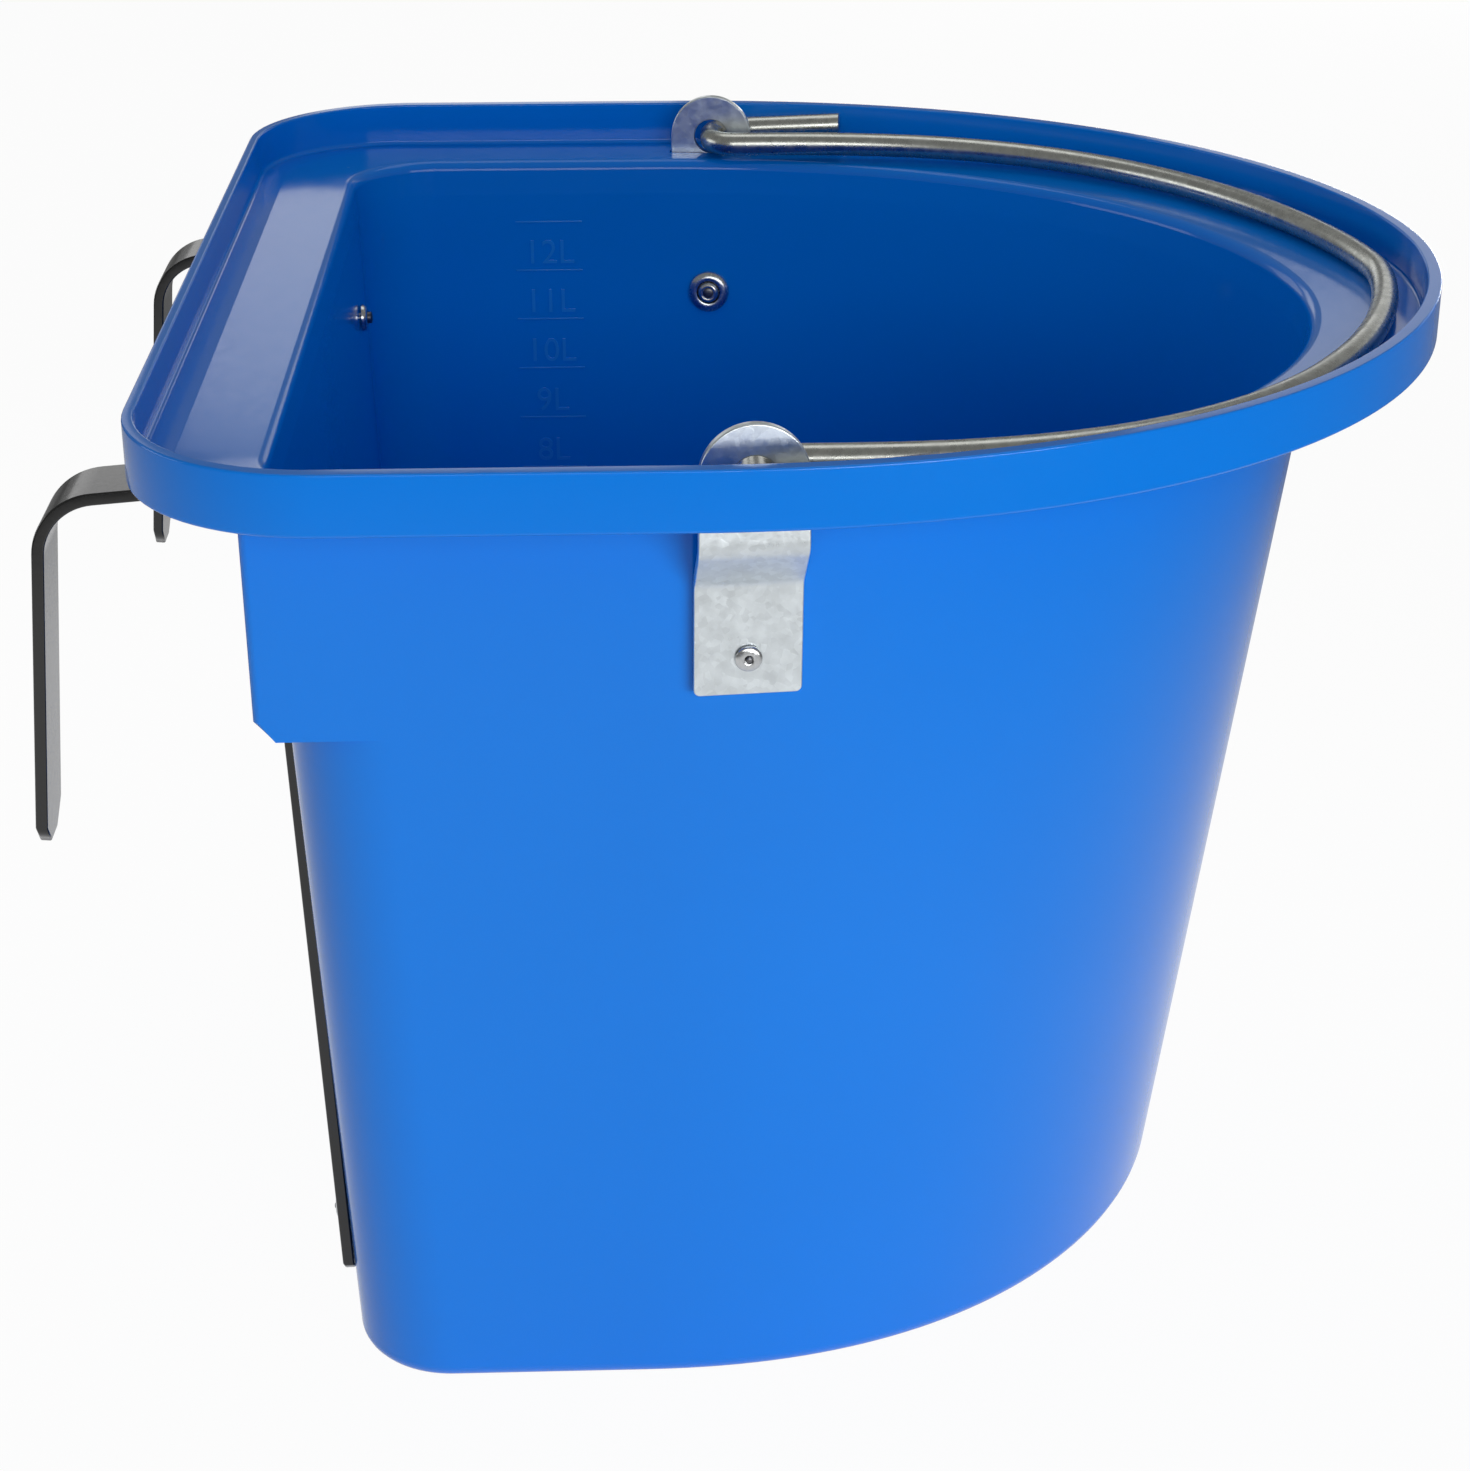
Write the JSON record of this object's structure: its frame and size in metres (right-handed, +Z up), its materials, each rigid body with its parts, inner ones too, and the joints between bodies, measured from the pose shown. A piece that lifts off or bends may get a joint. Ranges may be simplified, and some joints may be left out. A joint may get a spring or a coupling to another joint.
{
  "type": "hanging feed bucket",
  "caption": "D-shaped plastic feed bucket with a flat back, wide ledge and upright lip, a wire bail in riveted strap ears, and flat hooks to hang it over a rail",
  "frame": {"origin": "middle of the base's length, on its underside, on the middle plane", "axes": "+X towards the round nose, away from the flat back and its hooks; +Y to the left; +Z up"},
  "size_m": [0.3611, 0.3526, 0.269],
  "materials": {
    "moulded_plastic": "blue moulded polyethylene, semi-gloss",
    "handle_wire": "drawn zinc-plated steel wire",
    "zinc_strap": "bright zinc-plated steel strip",
    "rivet": "bright blind rivet",
    "mandrel": "dark plated steel",
    "washer": "zinc-plated steel",
    "hook_paint": "black gloss enamel on steel bar"
  },
  "bodies": {
    "bucket": {"bucket_body": "moulded_plastic", "ear_bracket_left": "zinc_strap", "ear_rivet_left": "rivet", "ear_mandrel_left": "mandrel", "ear_washer_left": "washer", "hook_left": "hook_paint", "hook_rivet_left_upper": "rivet", "hook_mandrel_left_upper": "mandrel", "hook_rivet_left_lower": "rivet", "hook_mandrel_left_lower": "mandrel", "ear_bracket_right": "zinc_strap", "ear_rivet_right": "rivet", "ear_mandrel_right": "mandrel", "ear_washer_right": "washer", "hook_right": "hook_paint", "hook_rivet_right_upper": "rivet", "hook_mandrel_right_upper": "mandrel", "hook_rivet_right_lower": "rivet", "hook_mandrel_right_lower": "mandrel"},
    "bail": {"bail": "handle_wire"}
  },
  "joints": [
    {"name": "bail_swing", "type": "hinge", "parent": "bucket", "child": "bail", "pos_m": [-0.01096, 0, 0.2565], "axis": [0, -1, 0], "range_deg": [0, 174.5]}
  ]
}
